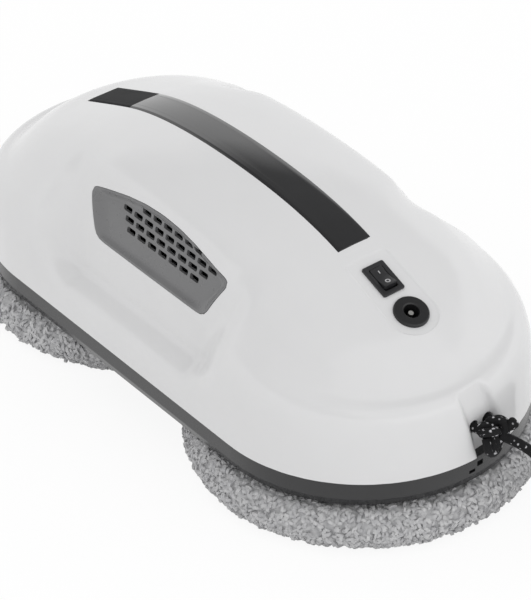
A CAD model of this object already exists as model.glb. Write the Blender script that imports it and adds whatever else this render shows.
"""Looks of a window cleaning robot: white shell, black strip, grilles, fluffy pads and a safety rope."""
import logging
import math
from dataclasses import dataclass, field
from enum import Enum

import bpy
import numpy as np
from mathutils import Matrix, Vector, noise


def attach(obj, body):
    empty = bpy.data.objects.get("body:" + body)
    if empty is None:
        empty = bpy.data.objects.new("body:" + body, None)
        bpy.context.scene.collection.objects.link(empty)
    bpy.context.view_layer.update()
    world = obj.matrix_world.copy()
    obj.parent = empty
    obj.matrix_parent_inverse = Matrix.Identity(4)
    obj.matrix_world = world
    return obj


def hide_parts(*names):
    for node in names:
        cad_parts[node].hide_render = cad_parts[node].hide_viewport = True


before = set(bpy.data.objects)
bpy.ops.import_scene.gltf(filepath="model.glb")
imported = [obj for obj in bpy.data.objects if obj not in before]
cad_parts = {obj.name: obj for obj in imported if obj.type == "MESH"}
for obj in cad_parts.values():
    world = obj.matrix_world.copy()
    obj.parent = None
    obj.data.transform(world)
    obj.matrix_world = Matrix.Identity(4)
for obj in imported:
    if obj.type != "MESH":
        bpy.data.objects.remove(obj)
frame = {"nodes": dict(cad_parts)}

LOG = logging.getLogger("window_robot")
MM = 0.001
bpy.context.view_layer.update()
CUT_TRIES = 8
CUT_NUDGE = 0.003
Point = tuple[float, float, float]
Outline = list[tuple[float, float]]


class Body(Enum):
    """The rigid bodies that pieces ride on."""

    CHASSIS = "chassis"
    WHEEL_FRONT = "wheel_front"
    WHEEL_REAR = "wheel_rear"
    ROCKER = "rocker"


class Side(Enum):
    """The two flanks of the body, with the sign of their Y."""

    RIGHT = -1
    LEFT = 1


# Work in the viewport's manner


def activate(piece: bpy.types.Object) -> None:
    """Makes a piece the only selected one and the active one."""
    bpy.ops.object.select_all(action="DESELECT")
    piece.select_set(True)
    bpy.context.view_layer.objects.active = piece


def linked(name: str, data: bpy.types.ID) -> bpy.types.Object:
    """A new object of that name in the scene, for a mesh, a camera or a lamp."""
    made = bpy.data.objects.new(name, data)
    bpy.context.collection.objects.link(made)
    return made


def points_of(piece: bpy.types.Object) -> np.ndarray:
    """A mesh's points, one row for each."""
    co = np.zeros(len(piece.data.vertices) * 3)
    piece.data.vertices.foreach_get("co", co)
    return co.reshape(-1, 3)


def unit(rows: np.ndarray) -> np.ndarray:
    """Each row as a vector of length 1."""
    return rows / np.linalg.norm(rows, axis=1)[:, None]


def walked(path: np.ndarray) -> np.ndarray:
    """The way along a path up to each of its points."""
    return np.concatenate([[0], np.cumsum(np.linalg.norm(np.diff(path, axis=0), axis=1))])


def settle(piece: bpy.types.Object, place: Matrix | None = None) -> None:
    """Moves a piece's place into its mesh, so that its object sits at the origin.

    Args:
        piece: The mesh object.
        place: A further placing, in metres, applied after the object's own.
    """
    whole = (place or Matrix.Identity(4)) @ piece.matrix_basis
    piece.data.transform(whole)
    piece.matrix_basis = Matrix.Identity(4)
    if whole.determinant() < 0:
        piece.data.flip_normals()
    piece.data.update()


def finish_modifier(piece: bpy.types.Object, kind: str, **settings: object) -> None:
    """Adds a modifier to a piece and applies it.

    Args:
        piece: The mesh object.
        kind: The modifier's type.
        settings: Values of the modifier.
    """
    activate(piece)
    modifier = piece.modifiers.new(kind.title(), kind)
    for name, value in settings.items():
        setattr(modifier, name, value)
    bpy.ops.object.modifier_apply(modifier=modifier.name)


def open_edges(mesh: bpy.types.Mesh) -> int:
    """Number of a mesh's edges that don't join exactly two faces."""
    joins = np.zeros(len(mesh.loops), np.int32)
    mesh.loops.foreach_get("edge_index", joins)
    return int((np.bincount(joins, minlength=len(mesh.edges)) != 2).sum())


def carve(piece: bpy.types.Object, *cutters: bpy.types.Object) -> None:
    """Cuts each cutter's shape out of a piece and removes the cutters.

    The solver isn't the same in each run and now and then leaves a cutter's far part in the piece. That opens
    edges, and such a cut is made again.
    """
    for cutter in cutters:
        whole = piece.data.copy()
        for attempt in range(CUT_TRIES):
            cutter.location.x = attempt * CUT_NUDGE * MM
            finish_modifier(piece, "BOOLEAN", object=cutter, operation="DIFFERENCE", solver="EXACT",
                            use_hole_tolerant=attempt % 2 == 1)
            if open_edges(piece.data) <= open_edges(whole):
                break
            LOG.info("%s: cut %d by %s left an open edge", piece.name, attempt + 1, cutter.name)
            if attempt < CUT_TRIES - 1:
                piece.data = whole.copy()
        bpy.data.objects.remove(cutter)


def round_edges(piece: bpy.types.Object, width: float, steps: int = 2, corner: float = 35) -> None:
    """Rounds a piece's sharp edges.

    Args:
        piece: The mesh object.
        width: Width of the rounding in millimetres.
        steps: Segments across it.
        corner: Least corner that is rounded, in degrees.
    """
    finish_modifier(piece, "BEVEL", width=width * MM, segments=steps, limit_method="ANGLE",
                    angle_limit=math.radians(corner), miter_outer="MITER_ARC")


def soften(piece: bpy.types.Object, corner: float = 35) -> None:
    """Shades a piece smooth between edges sharper than the corner, in degrees."""
    activate(piece)
    bpy.ops.object.shade_smooth_by_angle(angle=math.radians(corner))


def face_outwards(piece: bpy.types.Object, merge: float = 0.0) -> None:
    """Merges doubles nearer than merge millimetres, if it isn't zero, and turns every face outwards."""
    activate(piece)
    bpy.ops.object.mode_set(mode="EDIT")
    bpy.ops.mesh.select_all(action="SELECT")
    if merge:
        bpy.ops.mesh.remove_doubles(threshold=merge * MM)
    bpy.ops.mesh.normals_make_consistent(inside=False)
    bpy.ops.object.mode_set(mode="OBJECT")


def stack_rings(name: str, rings: list[np.ndarray], cap_start: bool = True, cap_end: bool = True) -> bpy.types.Object:
    """Extrudes a closed ring from place to place.

    Args:
        name: The piece's name.
        rings: One array of points in millimetres for each ring, all of one length.
        cap_start: Whether the first ring is filled.
        cap_end: Whether the last ring is filled.

    Returns:
        The mesh object, at the origin.
    """
    count = len(rings[0])
    bpy.ops.mesh.primitive_circle_add(vertices=count, radius=1, fill_type="NGON" if cap_start else "NOTHING")
    piece = bpy.context.object
    piece.name = piece.data.name = name
    bpy.ops.object.mode_set(mode="EDIT")
    bpy.ops.mesh.select_all(action="SELECT")
    if cap_start:
        bpy.ops.mesh.duplicate()
        bpy.ops.mesh.delete(type="ONLY_FACE")
        bpy.ops.mesh.select_all(action="SELECT")
        bpy.ops.mesh.remove_doubles(threshold=1e-6)
    for _ in rings[1:]:
        bpy.ops.mesh.extrude_edges_move(TRANSFORM_OT_translate={"value": (0, 0, 1)})
    if cap_end:
        bpy.ops.mesh.edge_face_add()
    bpy.ops.object.mode_set(mode="OBJECT")
    co = points_of(piece)
    level = np.rint(co[:, 2]).astype(int)
    turn = np.rint(np.arctan2(co[:, 1], co[:, 0]) / (2 * np.pi) * count).astype(int) % count
    placed = np.array(rings)[level, turn] * MM
    piece.data.vertices.foreach_set("co", placed.ravel())
    piece.data.update()
    return piece


def slab(name: str, outline: Outline, low: float, high: float, place: Matrix) -> bpy.types.Object:
    """A plate between two heights over an outline, in millimetres, at a place in metres."""
    flat = np.array(outline, float)
    rings = [np.column_stack([flat, np.full(len(flat), z)]) for z in (low, high)]
    piece = stack_rings(name, rings)
    face_outwards(piece)
    settle(piece, place)
    return piece


def circle(radius: float, steps: int) -> Outline:
    """Outline of a circle, in millimetres."""
    turns = [2 * math.pi * i / steps for i in range(steps)]
    return [(radius * math.cos(t), radius * math.sin(t)) for t in turns]


def rounded(length: float, width: float, radius: float, steps: int = 6,
            centre: tuple[float, float] = (0, 0)) -> Outline:
    """Outline of a rectangle with round corners, in millimetres."""
    corners = [(length / 2 - radius, width / 2 - radius, 0), (radius - length / 2, width / 2 - radius, 90),
               (radius - length / 2, radius - width / 2, 180), (length / 2 - radius, radius - width / 2, 270)]
    return [(centre[0] + x + radius * math.cos(math.radians(start + 90 * i / steps)),
             centre[1] + y + radius * math.sin(math.radians(start + 90 * i / steps)))
            for x, y, start in corners for i in range(steps + 1)]


def joined(name: str, pieces: list[bpy.types.Object]) -> bpy.types.Object:
    """One object out of several."""
    activate(pieces[0])
    for piece in pieces[1:]:
        piece.select_set(True)
    bpy.ops.object.join()
    pieces[0].name = pieces[0].data.name = name
    return pieces[0]


def spun(name: str, profile: Outline, steps: int, place: Matrix) -> bpy.types.Object:
    """A closed profile of radius and height in millimetres, turned about its axis and placed in metres."""
    rings = [np.array([[x, y, z] for x, y in circle(r, steps)]) for r, z in profile]
    piece = stack_rings(name, rings + [rings[0]], cap_start=False, cap_end=False)
    face_outwards(piece, merge=0.001)
    settle(piece, place)
    return piece


def tube_faces(count: int, sides: int) -> np.ndarray:
    """The quads of a tube of count rings, as numbers of its points."""
    grid = np.arange(count * sides).reshape(count, sides)
    after = np.roll(grid, -1, axis=1)
    return np.stack([grid[:-1], after[:-1], after[1:], grid[1:]], axis=-1).reshape(-1, 4)


def swept_tube(name: str, path: np.ndarray, radius: float | np.ndarray, sides: int) -> bpy.types.Object:
    """A tube along a path, with a UV map whose U runs round and whose V runs along in tube widths.

    Args:
        name: The piece's name.
        path: Points in millimetres.
        radius: The tube's radius in millimetres, or one for each point.
        sides: Sides of the tube.

    Returns:
        The mesh object with closed ends.
    """
    count = len(path)
    radii = np.broadcast_to(np.asarray(radius, float), (count,))
    along = unit(np.gradient(path, axis=0))
    side = np.cross(along[0], [0, 0, 1])
    if np.linalg.norm(side) < 1e-3:
        side = np.cross(along[0], [0, 1, 0])
    turns = 2 * np.pi * np.arange(sides) / sides
    rings = []
    for i in range(count):
        side = side - along[i] * (side @ along[i])
        side /= np.linalg.norm(side)
        up = np.cross(side, along[i])
        rings.append(path[i] + radii[i] * (np.cos(turns)[:, None] * side + np.sin(turns)[:, None] * up))
    mesh = bpy.data.meshes.new(name)
    ends = [list(range(sides))[::-1], list(range((count - 1) * sides, count * sides))]
    mesh.from_pydata((np.concatenate(rings) * MM).tolist(), [], tube_faces(count, sides).tolist() + ends)
    way = walked(path) / (2 * radii.mean())
    uv = mesh.uv_layers.new(name="UVMap")
    loops = [(j / sides, way[i], (j + 1) / sides, way[i + 1]) for i in range(count - 1) for j in range(sides)]
    flat = [c for a, b, d, e in loops for c in (a, b, d, b, d, e, a, e)] + [0.0] * (4 * sides)
    uv.data.foreach_set("uv", np.array(flat, np.float32))
    piece = linked(name, mesh)
    face_outwards(piece)
    soften(piece, 60)
    return piece


# The body's form, shared by the shell, the strip, the grilles and the deck


def smooth_table(table: list[list[float]], at: np.ndarray) -> np.ndarray:
    """A curve through a table's rows, read at fractional row numbers."""
    rows = np.array(table, float)
    padded = np.vstack([2 * rows[0] - rows[1], rows, 2 * rows[-1] - rows[-2]])
    base = np.clip(np.floor(at).astype(int), 0, len(rows) - 2)
    t = (at - base)[:, None]
    p0, p1, p2, p3 = (padded[base + k] for k in range(4))
    return 0.5 * (2 * p1 + (p2 - p0) * t + (2 * p0 - 5 * p1 + 4 * p2 - p3) * t**2 + (3 * p1 - p0 - 3 * p2 + p3) * t**3)


@dataclass(frozen=True)
class BodyForm:
    """The shell's outer surface, as sections lofted round a long oval, in millimetres."""

    axle_x: float = 73.75
    end_r: float = 67.8
    lip_z: float = 31.4
    shell_h: float = 70.1
    ridge_drop: float = 10.7
    square_share: float = 0.66
    flank_half: float = 38.0
    fender_start: float = 66.0
    detail: int = 5

    END = [[1, 0], [0.99, 0.14], [0.97, 0.3], [0.935, 0.43], [0.885, 0.485], [0.825, 0.5], [0.765, 0.56],
           [0.68, 0.655], [0.56, 0.756], [0.43, 0.8125], [0.28, 0.878], [0.15, 0.9346], [0, 1]]
    FENDER = [[1, 0], [0.995, 0.14], [0.985, 0.34], [0.96, 0.47], [0.915, 0.57], [0.84, 0.66], [0.76, 0.745],
              [0.66, 0.84], [0.54, 0.91], [0.42, 0.955], [0.28, 0.98], [0.15, 0.995], [0, 1]]
    FLANK = [[1, 0], [0.99, 0.09], [0.945, 0.171], [0.835, 0.243], [0.81, 0.31], [0.79, 0.4], [0.775, 0.49],
             [0.735, 0.65], [0.68, 0.79], [0.59, 0.915], [0.4, 0.97], [0.15, 0.995], [0, 1]]

    @property
    def rows(self) -> np.ndarray:
        """Fractional rows of the section tables, from the lip up to the ridge."""
        steps = self.detail * (len(self.END) - 1)
        return np.linspace(0, len(self.END) - 1, steps + 1)

    def ridge(self, x: float) -> float:
        """Height of the ridge at a place between the wheel axes."""
        square = (x / self.axle_x) ** 2
        fall = self.square_share * square + (1 - self.square_share) * square**2
        return self.lip_z + self.shell_h - self.ridge_drop * fall

    def section(self, x: float, turn: float) -> np.ndarray:
        """Radii and heights of the section at a place, one row for each level.

        Args:
            x: Place on the body's long axis, where a wheel axis stands for the whole end.
            turn: Direction outwards in radians, 0 along the body's axis.

        Returns:
            Radius from the long axis and height above the floor.
        """
        end, fender, flank = (smooth_table(t, self.rows) for t in (self.END, self.FENDER, self.FLANK))
        if abs(x) >= self.axle_x - 1e-9:
            shares = end + (fender - end) * (1 - abs(math.cos(turn)))
        else:
            run = min(1.0, max(0.0, (abs(x) - self.flank_half) / (self.fender_start - self.flank_half)))
            shares = flank + (fender - flank) * run * run * (3 - 2 * run)
        return np.column_stack([shares[:, 0] * self.end_r,
                                self.lip_z + shares[:, 1] * (self.ridge(x) - self.lip_z)])

    def height(self, x: float, y: float) -> float:
        """Height of the surface over a place."""
        if abs(x) > self.axle_x:
            dx = abs(x) - self.axle_x
            section, out = self.section(self.axle_x, math.atan2(y, dx)), math.hypot(dx, y)
        else:
            section, out = self.section(x, math.pi / 2), abs(y)
        return float(np.interp(out, section[::-1, 0], section[::-1, 1]))

    def outline(self, end_steps: int, side_steps: int, extra: np.ndarray) -> list[tuple[float, float]]:
        """Places round the body.

        Args:
            end_steps: Steps round each end.
            side_steps: Steps along each side.
            extra: Further directions round the front end, in radians.

        Returns:
            The long axis's x and the direction outwards in radians, for each place.
        """
        quarter = math.pi / 2
        turns = np.linspace(-quarter, quarter, end_steps + 1)
        kept = [t for t in turns if not extra.min() - 0.01 < t < extra.max() + 0.01]
        front = [(self.axle_x, float(t)) for t in sorted([*kept, *extra])]
        rear = [(-self.axle_x, float(t) + math.pi) for t in turns]
        left = [(self.axle_x * (1 - 2 * i / side_steps), quarter) for i in range(1, side_steps)]
        return front + left + rear + [(-x, t + math.pi) for x, t in left]


FORM = BodyForm()


@dataclass(frozen=True)
class DeckLayout:
    """The switch and the socket on the sloping deck and the recess round them, in millimetres.

    The switch and the socket are given by their distance before the front wheel's axis.
    """

    switch: float = 12.4
    socket: float = 29.2
    socket_run: float = 16.8
    slope: float = 20.889
    sunk: float = 0.6
    recess_half: float = 11.0
    recess_rear: float = -12.3
    switch_hole: tuple[float, float, float] = (13.3, 8.7, 1)
    socket_hole_r: float = 5.75


@dataclass(frozen=True)
class RopeChannel:
    """The upright channel at the front that holds the rope's knot, in millimetres."""

    offset: float = 6.3
    face: float = 63.23
    half: float = 6.9
    ease: float = 1.7
    lean: float = 0.22
    lean_height: float = 18.0
    draft: float = 0.3
    draft_start: float = 48.0
    hole_z: float = 43.4
    hole_y: float = 3.8
    hole_r: float = 2.6

    @property
    def turn(self) -> float:
        """The channel's direction round the front wheel's axis, in radians."""
        return math.asin(self.offset / FORM.end_r)


DECK = DeckLayout()
CHANNEL = RopeChannel()


def deck_place(offset: float) -> Matrix:
    """Frame on the sloping deck, offset millimetres before the front wheel's axis."""
    low, high = FORM.END[8], FORM.END[11]
    tall = FORM.ridge(FORM.axle_x) - FORM.lip_z
    tilt = math.atan((high[1] - low[1]) / (low[0] - high[0]) * tall / FORM.end_r)
    shares = np.array(FORM.END)[::-1]
    z = FORM.lip_z + np.interp(offset / FORM.end_r, shares[:, 0], shares[:, 1]) * tall
    return Matrix.Translation(Vector((FORM.axle_x + offset, 0, z)) * MM) @ Matrix.Rotation(tilt, 4, "Y")


def flank_place(side: Side) -> Matrix:
    """Frame of a grille: X along the body, Y up the flank, Z outwards."""
    forward, out_share, up_share, tilt = 2.9, 0.735, 0.65, 71.5
    spot = Vector((forward, -out_share * FORM.end_r, FORM.lip_z + up_share * FORM.shell_h)) * MM
    place = Matrix.Translation(spot) @ Matrix.Rotation(math.radians(tilt), 4, "X")
    return place if side is Side.RIGHT else Matrix.Scale(-1, 4, (0, 1, 0)) @ place


def channel_place() -> Matrix:
    """Frame of the rope's channel, turned about the front wheel's axis, X outwards."""
    return Matrix.Translation((FORM.axle_x * MM, 0, 0)) @ Matrix.Rotation(CHANNEL.turn, 4, "Z")


# Finishes


class Graph:
    """A material's node graph round one Principled shader."""

    def __init__(self, name: str) -> None:
        """Makes an empty material of that name with a shader and an output."""
        self.material = bpy.data.materials.new(name)
        self.material.use_nodes = True
        self.tree = self.material.node_tree
        self.tree.nodes.clear()
        self.shader = self.add("BsdfPrincipled")
        out = self.add("OutputMaterial")
        self.link(self.shader, "BSDF", out, "Surface")

    def add(self, kind: str, settings: dict[str, object] | None = None, **inputs: object) -> bpy.types.Node:
        """Adds a shader node.

        Args:
            kind: The node's type without its ShaderNode prefix.
            settings: Properties of the node.
            inputs: Values of its sockets, with underscores for spaces.

        Returns:
            The node.
        """
        node = self.tree.nodes.new("ShaderNode" + kind)
        for key, value in (settings or {}).items():
            setattr(node, key, value)
        self.tune(node, **inputs)
        return node

    def tune(self, node: bpy.types.Node, **inputs: object) -> None:
        """Sets inputs of a node, named with underscores for spaces."""
        for key, value in inputs.items():
            node.inputs[key.replace("_", " ")].default_value = value

    def link(self, source: bpy.types.Node, output: str | int, target: bpy.types.Node, socket: str | int) -> None:
        """Joins an output to an input."""
        self.tree.links.new(source.outputs[output], target.inputs[socket])

    def texture(self, kind: str, mapping: bpy.types.Node, settings: dict[str, object] | None = None,
                **inputs: object) -> bpy.types.Node:
        """A texture of a kind over a mapping."""
        texture = self.add("Tex" + kind, settings, Scale=1.0, **inputs)
        self.link(mapping, "Vector", texture, "Vector")
        return texture

    def vary_roughness(self, source: bpy.types.Node, mean: float, spread: float) -> None:
        """Lets the roughness follow a noise, by a share either way about its mean."""
        rough = self.add("MapRange", To_Min=mean * (1 - spread), To_Max=mean * (1 + spread))
        self.link(source, "Fac", rough, "Value")
        self.link(rough, "Result", self.shader, "Roughness")

    def place(self, scale: Point = (1, 1, 1), output: str = "Object") -> bpy.types.Node:
        """Texture coordinates through a scaling, with the pattern on the piece itself."""
        where = self.add("TexCoord")
        mapping = self.add("Mapping", Scale=scale)
        self.link(where, output, mapping, "Vector")
        return mapping

    def noise(self, size: float, detail: float = 3, stretch: Point = (1, 1, 1)) -> bpy.types.Node:
        """Noise whose blotches are about size millimetres, stretched by inverse factors."""
        mapping = self.place(tuple(1 / (size * MM) * s for s in stretch))
        return self.texture("Noise", mapping, Detail=detail, Roughness=0.55)

    def ramp(self, source: bpy.types.Node, output: str | int, low: tuple, high: tuple,
             span: tuple[float, float] = (0.3, 0.7)) -> bpy.types.Node:
        """A colour ramp between two tones over a span of a value."""
        ramp = self.add("ValToRGB")
        for element, position, tone in zip(ramp.color_ramp.elements, span, (low, high)):
            element.position, element.color = position, (*tone, 1)
        self.link(source, output, ramp, "Fac")
        return ramp

    def bump(self, source: bpy.types.Node, output: str | int, depth: float, strength: float = 1.0,
             before: bpy.types.Node | None = None) -> bpy.types.Node:
        """Relief of a depth in millimetres, over an earlier relief if there is one."""
        bump = self.add("Bump", Distance=depth * MM, Strength=strength)
        self.link(source, output, bump, "Height")
        if before:
            self.link(before, "Normal", bump, "Normal")
        self.link(bump, "Normal", self.shader, "Normal")
        return bump

    def paint(self, source: bpy.types.Node, output: str | int = "Color") -> None:
        """Takes the shader's colour from a node."""
        self.link(source, output, self.shader, "Base Color")


def scaled(tone: Point, factor: float) -> Point:
    """A tone made lighter or darker."""
    return tuple(min(1.0, c * factor) for c in tone)


@dataclass(frozen=True)
class Moulded:
    """Moulded plastic with a faint cloud in its colour and a fine grain."""

    name: str
    tone: Point
    roughness: float = 0.4
    grain: float = 0.6
    relief: float = 0.01
    cloud: float = 0.05
    coat: float = 0.0
    specular: float = 0.5

    def build(self) -> bpy.types.Material:
        """Makes the material."""
        g = Graph(self.name)
        clouds = g.noise(14, 4)
        g.paint(g.ramp(clouds, "Fac", scaled(self.tone, 1 - self.cloud), scaled(self.tone, 1 + self.cloud)))
        g.vary_roughness(g.noise(3.5, 3), self.roughness, 0.1)
        g.bump(g.noise(self.grain, 2), "Fac", self.relief)
        g.tune(g.shader, Coat_Weight=self.coat, Coat_Roughness=0.06, Specular_IOR_Level=self.specular)
        return g.material


@dataclass(frozen=True)
class Metal:
    """Drawn, turned or plated metal with fine scratches along one direction."""

    name: str
    tone: Point
    roughness: float = 0.3
    stretch: Point = (1, 1, 12)

    def build(self) -> bpy.types.Material:
        """Makes the material."""
        g = Graph(self.name)
        g.tune(g.shader, Metallic=1.0)
        lines = g.noise(0.5, 3, self.stretch)
        g.paint(g.ramp(lines, "Fac", scaled(self.tone, 0.86), scaled(self.tone, 1.06)))
        g.vary_roughness(lines, self.roughness, 0.25)
        g.bump(lines, "Fac", 0.01)
        return g.material


@dataclass(frozen=True)
class Laminate:
    """A circuit board: solder mask over copper tracks."""

    name: str
    mask: Point = (0.012, 0.09, 0.035)
    copper: Point = (0.03, 0.17, 0.07)

    def build(self) -> bpy.types.Material:
        """Makes the material."""
        g = Graph(self.name)
        tracks = g.texture("Brick", g.place((260, 260, 260)), Mortar_Size=0.06, Brick_Width=0.9, Row_Height=0.35,
                           Color1=(*self.mask, 1), Color2=(*scaled(self.mask, 1.25), 1), Mortar=(*self.copper, 1))
        g.paint(tracks)
        g.bump(tracks, "Fac", 0.02)
        g.tune(g.shader, Roughness=0.35, Coat_Weight=0.4)
        return g.material


@dataclass(frozen=True)
class Microfibre:
    """Looped microfibre: light tips over darker roots, read from the nap attribute."""

    name: str
    tip: Point
    root: Point

    def build(self) -> bpy.types.Material:
        """Makes the material."""
        g = Graph(self.name)
        nap = g.add("Attribute", {"attribute_name": "nap"})
        deep = g.ramp(nap, "Fac", self.root, self.tip, (0.0, 0.75))
        blotch = g.noise(3, 4)
        shade = g.ramp(blotch, "Fac", (0.78, 0.78, 0.79), (1, 1, 1), (0.38, 0.62))
        mixed = g.add("Mix", {"data_type": "RGBA", "blend_type": "MULTIPLY"})
        mixed.inputs[0].default_value = 1.0
        g.link(deep, "Color", mixed, 6)
        g.link(shade, "Color", mixed, 7)
        g.paint(mixed, 2)
        g.bump(g.noise(0.35, 2), "Fac", 0.12)
        g.tune(g.shader, Roughness=0.95, Specular_IOR_Level=0.15, Sheen_Weight=0.25, Sheen_Roughness=0.5)
        return g.material


@dataclass(frozen=True)
class Braid:
    """Braided cord: slanting strands with a light tracer, laid out on the cord's own UV map."""

    name: str
    tone: Point
    tracer: Point

    def build(self) -> bpy.types.Material:
        """Makes the material."""
        g = Graph(self.name)
        over, under = (self.strands(g, slant) for slant in (1, -1))
        weave = g.add("Math", {"operation": "MAXIMUM"})
        g.link(over, "Fac", weave, 0)
        g.link(under, "Fac", weave, 1)
        g.bump(weave, "Value", 0.35)
        checks = g.texture("Checker", g.place((6, 1.5, 1), "UV"), Color1=(*self.tone, 1), Color2=(*self.tracer, 1))
        spots = g.texture("Voronoi", g.place((6, 2.2, 1), "UV"))
        few = g.ramp(spots, "Distance", (1, 1, 1), (0, 0, 0), (0.24, 0.36))
        mixed = g.add("Mix", {"data_type": "RGBA"})
        g.link(few, "Color", mixed, 0)
        mixed.inputs[6].default_value = (*self.tone, 1)
        g.link(checks, "Color", mixed, 7)
        g.paint(mixed, 2)
        g.tune(g.shader, Roughness=0.7, Specular_IOR_Level=0.2)
        return g.material

    def strands(self, g: Graph, slant: int) -> bpy.types.Node:
        """Waves that run round the cord one way."""
        return g.texture("Wave", g.place((8, 3.2 * slant, 0), "UV"), {"bands_direction": "DIAGONAL"}, Distortion=0.3)


WHITE_SHELL = Moulded("gloss_white_shell", (0.665, 0.665, 0.67), 0.18, 2.2, 0.004, 0.006, 0.25)
BLACK_STRIP = Moulded("gloss_black_strip", (0.014, 0.014, 0.015), 0.1, 3.0, 0.002, 0.1, 0.9, 0.5)
SMOKED_LENS = Moulded("smoked_lens", (0.035, 0.035, 0.036), 0.5, 3.0, 0.002, 0.1, 0.0, 0.02)
GREY_GRILLE = Moulded("satin_grey_grille", (0.155, 0.155, 0.158), 0.28, 0.4, 0.012, 0.05)
BLACK_SWITCH = Moulded("satin_black_switch", (0.022, 0.022, 0.024), 0.38, 0.3, 0.015, 0.12)
BLACK_SOCKET = Moulded("satin_black_socket", (0.012, 0.012, 0.013), 0.42, 0.35, 0.02, 0.12)
LIGHT_MARK = Moulded("light_mark", (0.42, 0.42, 0.43), 0.5, 0.2, 0.005, 0.06)
DARK_TRAY = Moulded("dark_tray", (0.019, 0.019, 0.02), 0.24, 0.4, 0.008, 0.08)
PAD_PILE = Microfibre("pad_microfibre", (0.53, 0.53, 0.535), (0.34, 0.34, 0.345))
ROPE_BRAID = Braid("rope_braid", (0.014, 0.014, 0.015), (0.6, 0.6, 0.62))

NODE_FINISHES: dict[str, Moulded | Metal | Laminate] = {
    "base_tray": DARK_TRAY,
    "hub_bush_front hub_bush_rear": Moulded("acetal_bush", (0.62, 0.6, 0.52), 0.3),
    "wheel_front wheel_rear": Moulded("wheel_moulding", (0.05, 0.055, 0.06), 0.5, 0.5, 0.03, 0.1),
    "ring_gear_front ring_gear_rear": Moulded("gear_moulding", (0.66, 0.63, 0.54), 0.33),
    "gear_clip_front gear_clip_rear": Metal("clip_steel", (0.5, 0.51, 0.53), 0.28),
    "motor_bracket_front motor_bracket_rear": Metal("bracket_sheet", (0.62, 0.63, 0.66), 0.38, (1, 12, 1)),
    "drive_motor_front drive_motor_rear fan_motor": Metal("motor_can", (0.58, 0.58, 0.6), 0.3),
    "motor_shaft_front motor_shaft_rear fan_shaft": Metal("ground_shaft", (0.66, 0.67, 0.68), 0.16),
    "pinion_front pinion_rear": Metal("machined_brass", (0.72, 0.52, 0.22), 0.26),
    "dc_pin dc_nut": Metal("nickel_contact", (0.88, 0.87, 0.84), 0.3),
    "air_duct": Moulded("duct_moulding", (0.13, 0.135, 0.14), 0.5),
    "fan_housing": Moulded("fan_moulding", (0.045, 0.047, 0.05), 0.45),
    "fan_impeller": Moulded("impeller_moulding", (0.1, 0.105, 0.11), 0.35),
    "main_board power_board": Laminate("board_laminate"),
    "battery_pack": Moulded("battery_wrap", (0.02, 0.06, 0.22), 0.25, 1.5, 0.02, 0.08),
}


@dataclass
class Wardrobe:
    """The materials, each made once."""

    made: dict[str, bpy.types.Material] = field(default_factory=dict)

    def dress(self, piece: bpy.types.Object, *finishes: object) -> None:
        """Gives a piece its finishes, in the order of its material numbers."""
        piece.data.materials.clear()
        for finish in finishes:
            if finish.name not in self.made:
                self.made[finish.name] = finish.build()
            piece.data.materials.append(self.made[finish.name])

    def dress_nodes(self, nodes: dict[str, bpy.types.Object]) -> None:
        """Gives every carried-over node its finish."""
        for names, finish in NODE_FINISHES.items():
            for name in names.split():
                self.dress(nodes[name], finish)


# Sub-assemblies


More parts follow.
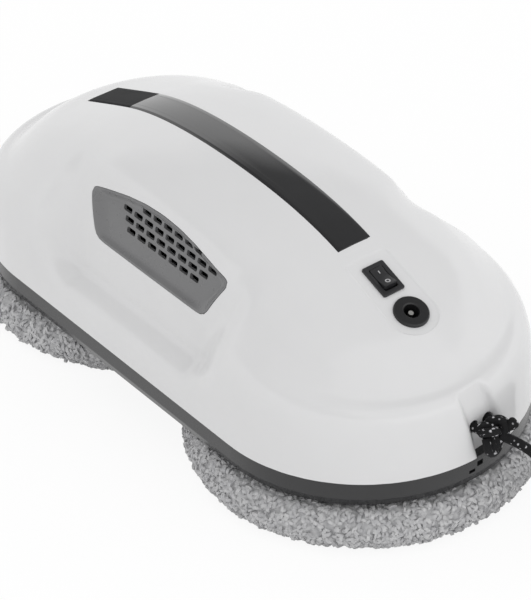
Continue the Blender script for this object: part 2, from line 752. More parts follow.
@dataclass
class MouldedShell:
    """The white upper shell with its groove, openings, deck recess and rope channel."""

    wardrobe: Wardrobe
    end_steps: int = 64
    side_steps: int = 72
    wall: float = 2.4
    roof: float = 3.4
    front_turns: int = 65
    cutter_reach: float = 9.0

    def build(self) -> bpy.types.Object:
        """Makes the shell."""
        shell = self.skin()
        carve(shell, self.strip_groove(), *(self.grille_opening(side) for side in Side),
              self.deck_recess(), self.switch_hole(), self.socket_hole(), *self.rope_holes())
        soften(shell, 32)
        self.wardrobe.dress(shell, WHITE_SHELL)
        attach(shell, Body.CHASSIS.value)
        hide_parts("top_shell")
        return shell

    def skin(self) -> bpy.types.Object:
        """The wall, drawn down inside from the ridge to the lip and up outside to the ridge again."""
        reach = CHANNEL.half + self.wall + 2 * CHANNEL.ease + CHANNEL.lean_height * CHANNEL.lean
        spread = math.asin(reach / (CHANNEL.face - self.wall))
        extra = CHANNEL.turn + np.linspace(-spread, spread, self.front_turns)
        places = FORM.outline(self.end_steps, self.side_steps, extra)
        inside = self.rings(places, self.wall, self.roof)
        outside = self.rings(places, 0, 0)
        shell = stack_rings("white_shell", inside[::-1] + outside, cap_start=False, cap_end=False)
        face_outwards(shell, merge=0.002)
        return shell

    def rings(self, places: list[tuple[float, float]], inset: float, drop: float) -> list[np.ndarray]:
        """One ring for each level, from the lip up, moved in from the surface.

        Args:
            places: Places round the body.
            inset: How far the rings stand in at the sides.
            drop: How far they lie below the surface at the ridge.

        Returns:
            Arrays of points in millimetres.
        """
        sections = []
        for x, turn in places:
            section = FORM.section(x, turn)
            height = FORM.ridge(x) - FORM.lip_z
            section[:, 0] *= 1 - inset / FORM.end_r
            section[:, 1] = FORM.lip_z + (section[:, 1] - FORM.lip_z) * (1 - drop / height)
            sections.append(self.channelled(section, x, turn, inset))
        return [np.array([[x + s[k, 0] * math.cos(turn), s[k, 0] * math.sin(turn), s[k, 1]]
                          for (x, turn), s in zip(places, sections)]) for k in range(len(FORM.rows))]

    def channelled(self, section: np.ndarray, x: float, turn: float, inset: float) -> np.ndarray:
        """A section drawn in to the channel's face where it crosses the channel, with eased edges.

        Args:
            section: Radii and heights of the section, which are changed.
            x: Place on the body's long axis.
            turn: Direction outwards in radians.
            inset: How far the section stands in from the outer surface.

        Returns:
            The section.
        """
        away, half = turn - CHANNEL.turn, CHANNEL.half + inset
        if x < FORM.axle_x or abs(turn) > 1:
            return section
        aside = CHANNEL.lean * (CHANNEL.hole_z - section[:, 1])
        across = np.abs(CHANNEL.face * math.sin(away) - aside)
        share = np.clip((half + CHANNEL.ease - across) / (2 * CHANNEL.ease), 0, 1)
        face = CHANNEL.face - CHANNEL.draft * np.maximum(0, section[:, 1] - CHANNEL.draft_start)
        over = section[:, 0] - (face - inset) / math.cos(away)
        rounding, fade_start, fade_run = 0.5, 3, 2
        soft = 0.5 * (over + np.sqrt(over**2 + rounding)) * np.clip((over + fade_start) / fade_run, 0, 1)
        section[:, 0] -= share * share * (3 - 2 * share) * soft
        return section

    def strip_groove(self) -> bpy.types.Object:
        """Cutter of the strip's groove."""
        clearance, depth, above = 0.15, -1.75, 3.2
        return TrimStrip(self.wardrobe).band("groove", clearance, depth, above)

    def grille_opening(self, side: Side) -> bpy.types.Object:
        """Cutter of a grille's opening."""
        clearance, reach = 0.2, 12
        outline = Grille(self.wardrobe, side).outline(-clearance)
        return slab("opening", outline, -reach, reach, flank_place(side))

    def deck_recess(self) -> bpy.types.Object:
        """Cutter of the shallow recess round the switch and the socket, with sloping walls."""
        far, near = DECK.socket_run / math.cos(math.radians(DECK.slope)), DECK.recess_rear
        corner_r, squared = 2, 0.8
        turns = np.radians(np.linspace(-90, 90, 41))
        rings = []
        for z, margin in ((-0.5, -0.9), (-0.36, -0.3), (0.3, 0.9), (4, 0.9)):
            half, corner = DECK.recess_half + margin, corner_r + margin
            ends = [(far + half * math.cos(t), half * math.sin(t)) for t in turns]
            eased = [(near - margin + corner * (1 - math.sin(a)), half - squared - corner * (1 - math.cos(a)))
                     for a in np.radians(np.linspace(0, 90, 7))]
            flat = ends + eased + [(x, -y) for x, y in eased[::-1]]
            rings.append(np.array([(x, y, z) for x, y in flat]))
        piece = stack_rings("recess", rings)
        face_outwards(piece)
        settle(piece, deck_place(DECK.switch))
        return piece

    def switch_hole(self) -> bpy.types.Object:
        """Cutter of the switch's hole."""
        return slab("switch_hole", rounded(*DECK.switch_hole), -self.cutter_reach, self.cutter_reach,
                    deck_place(DECK.switch))

    def socket_hole(self) -> bpy.types.Object:
        """Cutter of the socket's hole."""
        return slab("socket_hole", circle(DECK.socket_hole_r, 48), -self.cutter_reach, self.cutter_reach,
                    deck_place(DECK.socket))

    def rope_holes(self) -> list[bpy.types.Object]:
        """Cutters of the two rope holes, from inside the channel's face to well before it."""
        behind, before = 50, 76
        level = Matrix.Rotation(math.radians(90), 4, "Y")
        made = []
        for y in (-CHANNEL.hole_y, CHANNEL.hole_y):
            place = channel_place() @ Matrix.Translation(Vector((0, y, CHANNEL.hole_z)) * MM) @ level
            made.append(slab("rope_hole", circle(CHANNEL.hole_r, 32), behind, before, place))
        return made


@dataclass
class TrimStrip:
    """The glossy black strip along the ridge, with a smoked lens at its rear end."""

    wardrobe: Wardrobe
    rear: float = -100.55
    front: float = 68.35
    width: float = 16.8
    lens_end: float = -69.6
    sunk: float = 1.55
    proud: float = 0.14
    edge: float = 0.12
    columns: int = 9
    rows: int = 86

    def build(self) -> bpy.types.Object:
        """Makes the strip."""
        strip = self.band("black_strip", 0.0, -self.sunk, self.proud)
        round_edges(strip, self.edge, 2, 50)
        soften(strip, 30)
        self.wardrobe.dress(strip, BLACK_STRIP, SMOKED_LENS)
        for face in strip.data.polygons:
            face.material_index = int(face.center.x < self.lens_end * MM)
        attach(strip, Body.CHASSIS.value)
        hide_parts("trim_strip")
        return strip

    def band(self, name: str, margin: float, low: float, high: float) -> bpy.types.Object:
        """A band over the ridge that follows the surface, between two heights above it.

        Args:
            name: The piece's name.
            margin: How much wider than the strip it is on each side.
            low: Height of its underside above the surface.
            high: Height of its top above the surface.

        Returns:
            The mesh object.
        """
        half = self.width / 2 + margin
        across = np.linspace(-half, half, self.columns)
        first, last = self.rear - margin, self.front + margin
        along = np.unique(np.concatenate([np.linspace(first, last, self.rows), [self.lens_end]]))
        rings = []
        for x in along:
            top = [[x, y, FORM.height(x, y)] for y in across]
            rings.append(np.array([[p[0], p[1], p[2] + high] for p in top]
                                  + [[p[0], p[1], FORM.height(x, 0) + low] for p in top[::-1]]))
        piece = stack_rings(name, rings)
        face_outwards(piece)
        return piece


@dataclass
class Grille:
    """A grey side grille: a shallow dish with four rows of slots, its border flush with the flank."""

    wardrobe: Wardrobe
    side: Side
    half_length: float = 44.6
    up: float = 15.8
    border: float = 0.9
    slope: float = 3.0
    rear_slope: float = 7.0
    recess: float = 2.6
    thickness: float = 1.6
    rim_wall: float = 1.2
    skirt: float = 3.4
    slot_size: tuple[float, float, float] = (5.5, 2.4, 0.7)
    slot_pitch: float = 7.0
    row_pitch: float = 3.9
    skew: float = 2.4
    first_slot: float = 17.6
    rows: tuple[tuple[int, int], ...] = ((0, 6), (0, 7), (0, 8), (2, 7))
    shares: tuple[tuple[float, float], ...] = (
        (0, 1), (0.25, 0.965), (0.5, 0.86), (0.75, 0.7), (0.93, 0.57), (0.99, 0.5), (1, 0.42),
        (0.985, 0.33), (0.83, -0.56), (0.8, -0.66), (0.74, -0.7))

    def outline(self, inset: float, count: int = 150) -> Outline:
        """The grille's outline with eased corners, moved inwards, in its own frame.

        Args:
            inset: How far the outline stands in, in millimetres.
            count: Number of points.

        Returns:
            Points from the top middle clockwise.
        """
        low_inset = 1.4 * inset
        half = [(x * (self.half_length - inset), y * (self.up - (inset if y > 0 else low_inset)))
                for x, y in self.shares]
        corners = np.array(half + [(-x, y) for x, y in half[:0:-1]])
        closed = np.vstack([corners, corners[:1]])
        way = walked(closed)
        at = np.linspace(0, way[-1], count, endpoint=False)
        points = np.column_stack([np.interp(at, way, closed[:, k]) for k in (0, 1)])
        for _ in range(3):
            points = 0.25 * np.roll(points, 1, 0) + 0.5 * points + 0.25 * np.roll(points, -1, 0)
        return [tuple(p) for p in points]

    def on_surface(self, outline: Outline, above: float) -> np.ndarray:
        """Points over an outline at a height above the shell's surface, in the grille's frame."""
        place = flank_place(Side.RIGHT)
        found = []
        for u, v in outline:
            low, high = -14.0, 8.0
            for _ in range(24):
                w = (low + high) / 2
                p = place @ (Vector((u, v, w)) * MM) / MM
                inside = abs(p.y) < FORM.end_r and p.z < FORM.height(p.x, p.y)
                low, high = (w, high) if inside else (low, w)
            found.append((u, v, low + above))
        return np.array(found)

    def build(self) -> bpy.types.Object:
        """Makes the grille."""
        piece = stack_rings("grille_" + self.side.name.lower(), self.rings())
        face_outwards(piece)
        carve(piece, self.slots())
        settle(piece, flank_place(self.side))
        round_edges(piece, 0.14, 1, 50)
        soften(piece, 28)
        self.wardrobe.dress(piece, GREY_GRILLE)
        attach(piece, Body.CHASSIS.value)
        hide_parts("grille_" + self.side.name.lower())
        return piece

    def rings(self) -> list[np.ndarray]:
        """The grille's rings: the slotted floor, the dish up to the rim, and the skirt down and back inside."""

        def flat(outline: Outline, z: float | np.ndarray) -> np.ndarray:
            """An outline at one height, or at one for each point."""
            return np.column_stack([np.array(outline), np.broadcast_to(z, len(outline))])

        floor = [(u + self.rear_slope * max(0.0, -u / self.half_length) ** 3, v)
                 for u, v in self.outline(self.border + self.slope)]
        top = self.on_surface(self.outline(0), 0.1)
        rim = self.on_surface(self.outline(self.border), 0.05)
        least_dip, least_wall, flat_share = 0.6, 1, 0.985
        sink = flat(floor, np.minimum(-self.recess, np.minimum(rim[:, 2], 0) - least_dip))
        dish = [sink + (rim - sink) * (t, t, t * t * (1.8 - 0.8 * t)) for t in (0.12, 0.35, 0.6, 0.82)]
        under = -self.recess - self.thickness
        foot = np.minimum(top[:, 2], under) - self.skirt
        inner = self.outline(self.border + self.rim_wall)
        return [sink * (flat_share, flat_share, 1), sink, *dish, rim, top, flat(top[:, :2], foot),
                flat(inner, foot), flat(inner, np.minimum(under, sink[:, 2] - least_wall))]

    def slots(self) -> bpy.types.Object:
        """One cutter with every slot."""
        below, above = -20, 12
        made = []
        for row, (first, last) in enumerate(self.rows):
            for i in range(first, last + 1):
                centre = (i * self.slot_pitch - row * self.skew - self.first_slot, row * self.row_pitch)
                made.append(slab("slot", rounded(*self.slot_size, 3, centre), below, above, Matrix.Identity(4)))
        return joined("slots", made)


@dataclass
class DeckControls:
    """The rocker switch and the power socket on the sloping deck, in millimetres and degrees."""

    wardrobe: Wardrobe
    swing: float = 16.0
    bezel: tuple[float, float, float] = (15, 10.4, 0.8)
    bezel_h: float = 1.2
    barrel: tuple[float, float, float] = (13, 8.4, 1)
    barrel_depth: float = 12.0
    mouth: tuple[float, float, float] = (11, 6.4, 0.5)
    mouth_depth: float = 7.0
    pivot_depth: float = 1.8
    rocker_half: float = 4.9
    rocker_half_width: float = 2.9
    rocker_top: float = 3.4
    rocker_dip: float = 2.46

    def build(self) -> list[bpy.types.Object]:
        """Makes the housing, the rocker and the socket."""
        return [self.housing(), self.rocker(), self.socket()]

    def housing(self) -> bpy.types.Object:
        """The switch's bezel and body, sunk for the rocker."""
        overlap, below, above = 0.2, 1, 3
        place = deck_place(DECK.switch) @ Matrix.Translation((0, 0, -DECK.sunk * MM))
        bezel = slab("switch_bezel", rounded(*self.bezel), 0, self.bezel_h, place)
        body = slab("switch_body", rounded(*self.barrel), -self.barrel_depth, overlap, place)
        carve(bezel, slab("mouth", rounded(*self.mouth), -below, above, place))
        carve(body, slab("cavity", rounded(*self.mouth), -self.mouth_depth, above, place))
        round_edges(bezel, 0.3, 3, 50)
        piece = joined("switch_frame", [bezel, body])
        soften(piece)
        self.wardrobe.dress(piece, BLACK_SWITCH)
        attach(piece, Body.CHASSIS.value)
        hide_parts("switch_housing")
        return piece

    def rocker_place(self) -> Matrix:
        """Frame of the rocker at rest, tilted half its swing about its pins."""
        return (deck_place(DECK.switch) @ Matrix.Translation((0, 0, -self.pivot_depth * MM))
                @ Matrix.Rotation(math.radians(-self.swing / 2), 4, "Y"))

    def rocker(self) -> bpy.types.Object:
        """The rocker with its two marks."""
        half, top, dip = self.rocker_half, self.rocker_top, self.rocker_dip
        steps, hollowness, keel = 8, 1.4, -1.8
        shares = [1 - i / steps for i in range(steps + 1)]
        hollow = [(half * s, dip + (top - dip) * s**hollowness) for s in shares]
        profile = hollow + [(-x, z) for x, z in hollow[-2::-1]]
        profile += [(-half, 0), (-half / 2, keel), (half / 2, keel), (half, 0)]
        turn = Matrix.Rotation(math.radians(90), 4, "X")
        piece = slab("rocker_cap", profile, -self.rocker_half_width, self.rocker_half_width,
                     self.rocker_place() @ turn)
        round_edges(piece, 0.25, 3, 40)
        soften(piece)
        self.wardrobe.dress(piece, BLACK_SWITCH)
        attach(piece, Body.ROCKER.value)
        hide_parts("switch_rocker")
        self.marks()
        return piece

    def marks(self) -> bpy.types.Object:
        """The I and O marks, printed on the rocker's two slopes."""
        slope, print_height, flatness = math.radians(11), 0.06, 0.3
        bar_spot, ring_spot = Vector((-2.6, 0.1, 2.86)), Vector((2.7, 0.1, 2.9))
        ring_r, line_r = 0.85, 0.25
        bar_place = self.rocker_place() @ Matrix.Translation(bar_spot * MM) @ Matrix.Rotation(slope, 4, "Y")
        bar = slab("bar", rounded(1.4, 0.4, 0.1), 0, print_height, bar_place)
        bpy.ops.mesh.primitive_torus_add(major_radius=ring_r * MM, minor_radius=line_r * MM, major_segments=32,
                                         minor_segments=6)
        ring = bpy.context.object
        ring.data.transform(Matrix.Scale(flatness, 4, (0, 0, 1)))
        settle(ring, self.rocker_place() @ Matrix.Translation(ring_spot * MM) @ Matrix.Rotation(-slope, 4, "Y"))
        piece = joined("rocker_marks", [bar, ring])
        self.wardrobe.dress(piece, LIGHT_MARK)
        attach(piece, Body.ROCKER.value)
        return piece

    def socket(self) -> bpy.types.Object:
        """The round power socket with its blind bore."""
        place = deck_place(DECK.socket) @ Matrix.Translation((0, 0, -DECK.sunk * MM))
        bore_r, barrel_r, axis_r = 3.2, 5.6, 0.02
        floor, bottom = -9.4, -13
        flange = [(3.7, 1.6), (6.7, 1.5), (7.1, 1.15), (7.25, 0.6), (7.25, 0)]
        profile = [(bore_r, floor), (bore_r, 1.15), *flange, (barrel_r, 0), (barrel_r, bottom),
                   (axis_r, bottom), (axis_r, floor)]
        piece = spun("power_socket", profile, 72, place)
        soften(piece, 30)
        self.wardrobe.dress(piece, BLACK_SOCKET)
        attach(piece, Body.CHASSIS.value)
        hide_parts("dc_socket")
        return piece


@dataclass
class MicrofibrePad:
    """A round pad of looped microfibre on a flat backing, stretched over its wheel."""

    wardrobe: Wardrobe
    body: Body
    radius: float = 73.6
    opening: float = 46.0
    height: float = 17.2
    steps: int = 480
    rows: int = 74
    floor_gap: float = 0.35
    tufts: int = 5500
    loop_length: tuple[float, float] = (1.6, 3.4)
    loop_height: tuple[float, float] = (0.3, 1.3)
    loop_width: tuple[float, float] = (0.6, 1.05)
    loop_lean: float = 0.6
    loop_root: float = 0.35
    side_growth: float = 0.12
    top_growth: float = 0.75
    backing: tuple[tuple[float, float], ...] = (
        (46.2, 0.6), (46.2, 6.15), (64.2, 6.15), (64.2, 14.2), (58.2, 14.4), (58.4, 15.6),
        (66.5, 15.2), (68, 6), (66, 1))
    seed: int = 7

    @property
    def sign(self) -> int:
        """Side of the body that the pad is on."""
        return 1 if self.body is Body.WHEEL_FRONT else -1

    def profile(self) -> np.ndarray:
        """The pile's outer line, from the opening along the floor, round the edge and over the lip."""
        low, edge, inset = self.floor_gap, self.height / 2 - 0.6, 1.2
        flat_start = self.opening + 1.6
        flat_run, flat_steps, edge_steps = self.radius - edge - self.opening - 2.8, 12, 18
        line = [(self.opening + 0.6, 5.6), (self.opening + 0.2, 1.4), (flat_start, low)]
        line += [(flat_start + flat_run * i / flat_steps, low) for i in range(1, flat_steps)]
        for i in range(edge_steps + 1):
            turn = math.radians(-90 + 180 * i / edge_steps)
            line.append((self.radius - inset - edge + edge * math.cos(turn), low + edge + edge * math.sin(turn)))
        lip_z = self.height - 0.9
        return np.array(line + [(61.5, lip_z), (58.6, lip_z), (58.3, 15.2)])

    def build(self) -> list[bpy.types.Object]:
        """Makes the pad's pile with its backing, and the loops on it."""
        centre = np.array([self.sign * FORM.axle_x, 0, 0])
        noise.seed_set(self.seed + self.sign)
        pile, points, normals = self.pile(centre)
        loops = self.loops(points, normals, centre)
        backing = spun("backing", list(self.backing), 160, Matrix.Translation(Vector(centre) * MM))
        backing_nap = 0.2
        self.paint_nap(backing, np.full(len(backing.data.vertices), backing_nap))
        pad = joined(f"{self.body.value}_pile", [pile, backing])
        for piece in (pad, loops):
            soften(piece, 80)
            self.wardrobe.dress(piece, PAD_PILE)
            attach(piece, self.body.value)
            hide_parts("pad_front" if self.sign > 0 else "pad_rear")
        return [pad, loops]

    def paint_nap(self, piece: bpy.types.Object, values: np.ndarray) -> None:
        """Stores how far each point stands out of the pile, from 0 at the root to 1 at the tip."""
        layer = piece.data.attributes.get("nap") or piece.data.attributes.new("nap", "FLOAT", "POINT")
        layer.data.foreach_set("value", values.astype(np.float32))

    def pile(self, centre: np.ndarray) -> tuple[bpy.types.Object, np.ndarray, np.ndarray]:
        """The clumped surface of the pile.

        Args:
            centre: Foot of the wheel's axis.

        Returns:
            The mesh object, its points in millimetres and the directions outwards.
        """
        line = self.profile()
        way = walked(line)
        at = np.linspace(0, way[-1], self.rows)
        line = np.column_stack([np.interp(at, way, line[:, k]) for k in (0, 1)])
        along = np.gradient(line, axis=0)
        out = unit(np.column_stack([along[:, 1], -along[:, 0]]))
        turns = 2 * np.pi * np.arange(self.steps) / self.steps
        rings, normals, naps = [], [], []
        for (r, z), (nr, nz) in zip(line, out):
            ring = np.column_stack([r * np.cos(turns), r * np.sin(turns), np.full(self.steps, z)])
            normal = np.column_stack([nr * np.cos(turns), nr * np.sin(turns), np.full(self.steps, nz)])
            rise = np.array([self.clump(Vector(p)) for p in ring])
            keep = min(1.0, max(0.25, (z - 0.3) / 2.5))
            placed = ring + normal * (rise * keep)[:, None]
            placed[:, 2] = np.clip(placed[:, 2], 0.12, self.height - 0.1)
            rings.append(placed + centre)
            normals.append(normal)
            naps.append(np.clip((rise + 1.6) / 3.0, 0, 1))
        piece = stack_rings("pile", rings, cap_start=False, cap_end=False)
        flat = np.concatenate(rings)
        lookup = {tuple(np.round(p, 4)): nap for p, nap in zip(flat, np.concatenate(naps))}
        found = np.array([lookup.get(tuple(p), 0.5) for p in np.round(points_of(piece) / MM, 4)])
        self.paint_nap(piece, found)
        face_outwards(piece)
        return piece, flat, np.concatenate(normals)

    def clump(self, at: Vector) -> float:
        """Height of the clumped loops at a point, in millimetres about the pile's mean."""
        tuft_size, warp_size, swell_size, yarn_size = 3.1, 2.4, 6.5, 1.3
        distances, _ = noise.voronoi(at / tuft_size + 0.6 * noise.noise_vector(at / warp_size))
        tuft = 1.0 - min(1.0, distances[0] * 1.5)
        return tuft - 0.42 + 0.6 * noise.noise(at / swell_size) + 0.3 * noise.noise(at / yarn_size)

    def loops(self, points: np.ndarray, normals: np.ndarray, centre: np.ndarray) -> bpy.types.Object:
        """Arched yarn loops rooted in the pile, thick over the edge and sparse below.

        Args:
            points: Points of the pile in millimetres.
            normals: Their directions outwards.
            centre: Foot of the wheel's axis.

        Returns:
            The mesh object.
        """
        rng = np.random.default_rng(self.seed + self.sign)
        out = np.linalg.norm(points[:, :2] - centre[:2], axis=1)
        below_share, above_share = 0.12, 0.5
        level = np.where(normals[:, 2] > 0.97, above_share, 1.0)
        weight = out * np.where(points[:, 2] < 0.8, below_share, level)
        chosen = rng.choice(len(points), self.tufts, p=weight / weight.sum())
        base, normal = points[chosen], normals[chosen]
        way = unit(np.cross(normal, rng.normal(size=(self.tufts, 3))))
        aside = np.cross(way, normal)
        normal = unit(normal + aside * rng.uniform(-self.loop_lean, self.loop_lean, (self.tufts, 1)))
        length, height, width = (rng.uniform(*span, (self.tufts, 1))
                                 for span in (self.loop_length, self.loop_height, self.loop_width))
        steps, sides = 5, 4
        turns = 2 * np.pi * (np.arange(sides) + 0.5) / sides
        rings, naps = [], []
        for j in range(steps):
            t = j / (steps - 1)
            rise = height * math.sin(math.pi * t) - self.loop_root
            spot = base + way * length * (t - 0.5) + normal * rise
            along = unit(way * length + normal * height * math.pi * math.cos(math.pi * t))
            up = unit(np.cross(aside, along))
            thick = width * (0.75 + 0.25 * math.sin(math.pi * t))
            ring = spot[:, None] + thick[:, None] * (np.cos(turns)[None, :, None] * aside[:, None]
                                                     + np.sin(turns)[None, :, None] * up[:, None])
            rings.append(ring)
            naps.append(np.full((self.tufts, sides), 0.35 + 0.65 * math.sin(math.pi * t)))
        verts = np.stack(rings, axis=1)
        flat = verts[..., :2] - centre[:2]
        reach = np.linalg.norm(flat, axis=-1, keepdims=True)
        verts[..., :2] = centre[:2] + flat * np.minimum(1.0, (self.radius + self.side_growth) / reach)
        verts[..., 2] = np.clip(verts[..., 2], 0.06, self.height + self.top_growth)
        first, last = np.arange(sides)[::-1], np.arange(sides) + (steps - 1) * sides
        quads = np.vstack([tube_faces(steps, sides), first, last])
        faces = (quads[None] + (np.arange(self.tufts) * steps * sides)[:, None, None]).reshape(-1, 4)
        mesh = bpy.data.meshes.new("loops")
        mesh.from_pydata((verts.reshape(-1, 3) * MM).tolist(), [], faces.tolist())
        piece = linked(f"{self.body.value}_loops", mesh)
        face_outwards(piece)
        self.paint_nap(piece, np.stack(naps, axis=1).ravel())
        return piece


@dataclass
class SafetyRope:
    """The braided safety rope: knotted at the channel, led down past the pad and wound into a coil."""

    wardrobe: Wardrobe
    radius: float = 2.0
    loops: int = 24
    layers: int = 4
    pitch: float = 4.5
    outer: float = 43.5
    steps: int = 48
    route: tuple[Point, ...] = (
        (146, 8, 41.5), (149.5, 10.8, 39.8), (153, 13, 38.2), (157, 15, 36), (161.5, 17, 31.5), (165.5, 19, 25),
        (169, 21.5, 17.5), (172.5, 25, 10.5), (176, 29, 5), (180, 32.8, 2.4), (183.5, 34.3, 2.05), (186, 34.5, 2.05))
    loose_route: tuple[Point, ...] = ((145.8, 8.6, 42.4), (146.4, 10.8, 43.6), (147, 13, 44.9), (147.4, 15, 46))
    knot_height: float = 42.4
    drawn_tight: float = 0.9
    bight: tuple[Point, ...] = (
        (7.5, -4.6, -0.5), (9.2, -5.4, -3), (9.6, -4.8, -5.5), (9.4, -2.6, -7.4), (9.3, -0.1, -6.6),
        (9.2, 0.6, -4), (8.2, 0.4, -1.5))
    strand: tuple[Point, ...] = ((-6, 1, 43.4), (-2, 1, 43.4), (2, 1, 43.3), (5, 0.85, 43), (7.5, 0.5, 42.6))
    strand_share: float = 0.95

    def build(self) -> bpy.types.Object:
        """Makes the rope, its knot, its loose end and its cap."""
        knot, loose, cap = self.knot(), self.loose_end(), self.end_cap()
        path = np.vstack([self.eased(self.route, 5), self.coil()[1:]])
        rope = swept_tube("safety_rope", path, self.radius, 8)
        self.wardrobe.dress(rope, ROPE_BRAID)
        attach(rope, Body.CHASSIS.value)
        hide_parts("rope_run", "rope_coil")
        return rope

    def eased(self, points: tuple[Point, ...], parts: int) -> np.ndarray:
        """A smooth curve through points."""
        at = np.linspace(0, len(points) - 1, parts * (len(points) - 1) + 1)
        return smooth_table([list(p) for p in points], at)

    def coil(self) -> np.ndarray:
        """The coil's centreline: loops that spiral in and out again, climbing where they turn back."""
        start = np.array(self.route[-1])
        centre = start + [2 * self.radius, self.outer, 0]
        each = self.loops / self.layers

        def spot(s: float) -> np.ndarray:
            """The point after s loops."""
            part = s % (2 * each)
            r = self.outer - self.pitch * (part if part < each else 2 * each - part)
            layer = math.floor(s / each + 0.5)
            if 0 < layer < self.layers:
                climb = layer - 0.5 + max(-0.5, min(0.5, 2 * (s - layer * each)))
            else:
                climb = min(layer, self.layers - 1)
            turn = 2 * math.pi * s
            return centre + [r * math.sin(turn), -r * math.cos(turn), self.pitch * climb]

        inner = [spot(i / self.steps) for i in range(self.loops * self.steps + 1)]
        return np.array([start, *inner, inner[-1] + [2 * self.radius, 0, 0]])

    def knot(self) -> bpy.types.Object:
        """The knot before the channel: two strands out of the holes, crossing loops and a hanging bight."""
        face, height = CHANNEL.face, self.knot_height
        ts = np.linspace(0, 2 * np.pi, 121)
        tied = np.column_stack([face + 7.6 + 2.3 * np.sin(3 * ts), 2.5 * (np.sin(ts) + 1.3 * np.sin(2 * ts)),
                                height + 2.4 * (np.cos(ts) - 1.3 * np.cos(2 * ts))])
        around = np.linspace(0.2, 6.5, 61)
        wrap = np.column_stack([face + 6.4 + 3.6 * np.cos(around), 2.4 + 1.3 * np.sin(2 * around),
                                height - 0.4 + 4.5 * np.sin(around)])
        twist = np.column_stack([face + 7 + 3.2 * np.cos(around + 1), 1.3 * np.sin(2 * around) - 2.2,
                                 height - 1.6 + 4.2 * np.sin(around)])
        bight = self.eased(tuple((face + x, y, height + z) for x, y, z in self.bight), 7)
        made = [swept_tube("loop", path, self.radius * self.drawn_tight, 10) for path in (tied, wrap, twist, bight)]
        for hole_y in (-CHANNEL.hole_y, CHANNEL.hole_y):
            strand = self.eased(tuple((face + x, hole_y * share, z) for x, share, z in self.strand), 6)
            made.append(swept_tube("strand", strand, self.radius * self.strand_share, 12))
        piece = joined("rope_knot_tied", made)
        settle(piece, channel_place())
        return self.finished(piece, "rope_knot")

    def loose_end(self) -> bpy.types.Object:
        """The short end beyond the knot, with its sealed bulb."""
        path = self.eased(self.loose_route, 8)
        radii = self.radius * np.interp(np.linspace(0, 1, len(path)), (0, 0.4, 0.62, 0.82, 0.94, 1),
                                        (0.85, 0.85, 1.15, 1.2, 1.0, 0.6))
        return self.finished(swept_tube("rope_tail", path, radii, 14), "rope_loose_end")

    def end_cap(self) -> bpy.types.Object:
        """The moulded cap on the rope's far end."""
        end = self.coil()[-1]
        place = Matrix.Translation(Vector(end) * MM) @ Matrix.Rotation(math.radians(90), 4, "Y")
        profile = [(2.05, -2), (2.5, -2), (2.5, 3.4), (2.1, 3.95), (0.01, 4), (0.01, 0.02), (2.02, 0.02)]
        cap = spun("rope_cap", profile, 32, place)
        soften(cap)
        self.wardrobe.dress(cap, BLACK_SOCKET)
        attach(cap, Body.CHASSIS.value)
        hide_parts("rope_end_cap")
        return cap

    def finished(self, piece: bpy.types.Object, node: str) -> bpy.types.Object:
        """Dresses a rope piece and seats it on the chassis."""
        self.wardrobe.dress(piece, ROPE_BRAID)
        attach(piece, Body.CHASSIS.value)
        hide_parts(node)
        return piece


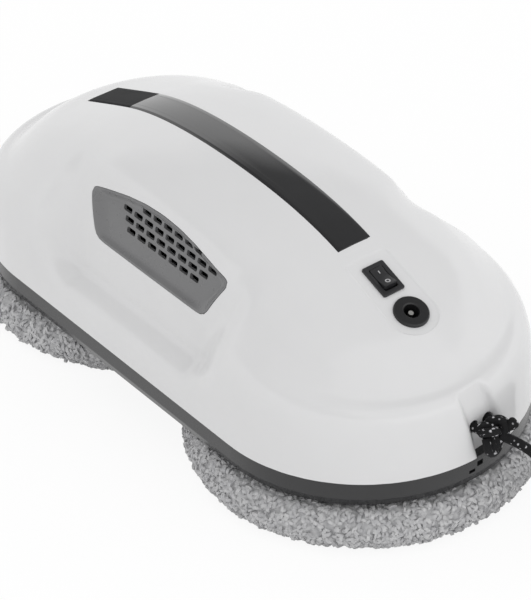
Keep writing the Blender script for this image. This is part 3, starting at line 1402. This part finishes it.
@dataclass
class Studio:
    """The camera, the pale floor, the surroundings and the lamps."""

    position: Point = (0.82099, -0.60853, 0.77079)
    azimuth: float = 53.11
    elevation: float = 36.02
    roll: float = -1.9955
    focal: float = 3046.48
    photo_height: int = 600
    sensor: float = 36.0
    clip: tuple[float, float] = (0.05, 20)
    daylight: float = 0.95
    ceiling: tuple[float, float] = (0.5, 0.62)
    ceiling_level: float = 0.25
    floor_size: float = 6.0
    floor_glow: float = 0.9
    lamp_place: Point = (1.5, 0.2, 1.4)
    lamp_size: float = 2.4
    lamp_power: float = 8.0
    lamp_target: Point = (0, 0, 0.05)

    def camera(self) -> None:
        """Makes the camera at the photograph's viewpoint."""
        a, e, w = (math.radians(v) for v in (self.azimuth, self.elevation, self.roll))
        ahead = Vector((-math.sin(a) * math.cos(e), math.cos(a) * math.cos(e), -math.sin(e)))
        right = Vector((math.cos(a), math.sin(a), 0))
        up = right.cross(ahead)
        right, up = math.cos(w) * right + math.sin(w) * up, math.cos(w) * up - math.sin(w) * right
        data = bpy.data.cameras.new("photograph_view")
        data.sensor_width = self.sensor
        data.lens = self.focal / self.photo_height * self.sensor
        data.clip_start, data.clip_end = self.clip
        camera = linked("photograph_view", data)
        camera.matrix_world = Matrix.Translation(self.position) @ Matrix((right, up, -ahead)).transposed().to_4x4()
        bpy.context.scene.camera = camera

    def surroundings(self) -> None:
        """Makes the world: white to the camera, and in reflections white low down under a dim ceiling."""
        world = bpy.data.worlds.new("studio")
        bpy.context.scene.world = world
        world.use_nodes = True
        tree = world.node_tree
        tree.nodes.clear()
        path, where, split, rise = (tree.nodes.new("ShaderNode" + kind)
                                    for kind in ("LightPath", "TexCoord", "SeparateXYZ", "ValToRGB"))
        soft, white, seen = (tree.nodes.new("ShaderNodeBackground") for _ in range(3))
        for background, strength in ((soft, self.daylight), (white, 1.0), (seen, 1.0)):
            background.inputs["Color"].default_value = (1, 1, 1, 1)
            background.inputs["Strength"].default_value = strength
        for element, height, level in zip(rise.color_ramp.elements, self.ceiling, (1.0, self.ceiling_level)):
            element.position, element.color = height, (level, level, level, 1)
        glossy, plain = (tree.nodes.new("ShaderNodeMixShader") for _ in range(2))
        both, out = tree.nodes.new("ShaderNodeMath"), tree.nodes.new("ShaderNodeOutputWorld")
        both.operation = "MAXIMUM"
        links = ((where, "Generated", split, 0), (split, "Z", rise, "Fac"), (rise, "Color", seen, "Color"),
                 (path, "Is Glossy Ray", glossy, 0), (soft, 0, glossy, 1), (seen, 0, glossy, 2),
                 (path, "Is Camera Ray", both, 0), (path, "Is Transmission Ray", both, 1),
                 (both, 0, plain, 0), (glossy, 0, plain, 1), (white, 0, plain, 2), (plain, 0, out, "Surface"))
        for source, output, target, socket in links:
            tree.links.new(source.outputs[output], target.inputs[socket])

    def floor(self) -> None:
        """Makes the pale floor, which keeps a light shadow and is clear from below."""
        bpy.ops.mesh.primitive_plane_add(size=self.floor_size, location=(0, 0, 0))
        floor = bpy.context.object
        floor.name = "pale_floor"
        g = Graph("pale_floor")
        g.paint(g.ramp(g.noise(60, 2), "Fac", (0.93, 0.93, 0.93), (0.95, 0.95, 0.95)))
        g.tune(g.shader, Roughness=0.9)
        path, glow, side, clear = (g.add(kind) for kind in ("LightPath", "Emission", "NewGeometry", "BsdfTransparent"))
        shaded, mixed, open_below = (g.add("MixShader") for _ in range(3))
        g.tune(glow, Strength=1.0)
        shaded.inputs[0].default_value = self.floor_glow
        both = g.add("Math", {"operation": "MAXIMUM"})
        out = next(n for n in g.tree.nodes if n.type == "OUTPUT_MATERIAL")
        for link in ((g.shader, "BSDF", shaded, 1), (glow, "Emission", shaded, 2), (path, "Is Camera Ray", both, 0),
                     (path, "Is Glossy Ray", both, 1), (both, "Value", mixed, 0), (g.shader, "BSDF", mixed, 1),
                     (shaded, "Shader", mixed, 2), (side, "Backfacing", open_below, 0),
                     (mixed, "Shader", open_below, 1), (clear, "BSDF", open_below, 2),
                     (open_below, "Shader", out, "Surface")):
            g.link(*link)
        floor.data.materials.append(g.material)

    def lamp(self) -> None:
        """Adds the square soft lamp that faces the object."""
        data = bpy.data.lights.new("key", "AREA")
        data.shape, data.size, data.energy = "SQUARE", self.lamp_size, self.lamp_power
        lamp = linked("key", data)
        lamp.location = self.lamp_place
        ahead = Vector(self.lamp_target) - Vector(self.lamp_place)
        lamp.rotation_euler = ahead.to_track_quat("-Z", "Y").to_euler()

    def build(self) -> None:
        """Makes everything but the camera."""
        bpy.context.scene.view_settings.view_transform = "Standard"
        self.surroundings()
        self.floor()
        self.lamp()


def main() -> None:
    """Builds the camera, the rope, the sub-assemblies and the studio, and reports each piece."""
    logging.basicConfig(level=logging.INFO, format="%(message)s")
    studio, wardrobe = Studio(), Wardrobe()
    studio.camera()
    made = [SafetyRope(wardrobe).build()]
    wardrobe.dress_nodes(frame["nodes"])
    made.append(MouldedShell(wardrobe).build())
    made.append(TrimStrip(wardrobe).build())
    made += [Grille(wardrobe, side).build() for side in Side]
    made += DeckControls(wardrobe).build()
    made += [piece for body in (Body.WHEEL_FRONT, Body.WHEEL_REAR) for piece in MicrofibrePad(wardrobe, body).build()]
    studio.build()
    for piece in made:
        LOG.info("%s: %d faces", piece.name, len(piece.data.polygons))


if __name__ == "__main__":
    main()
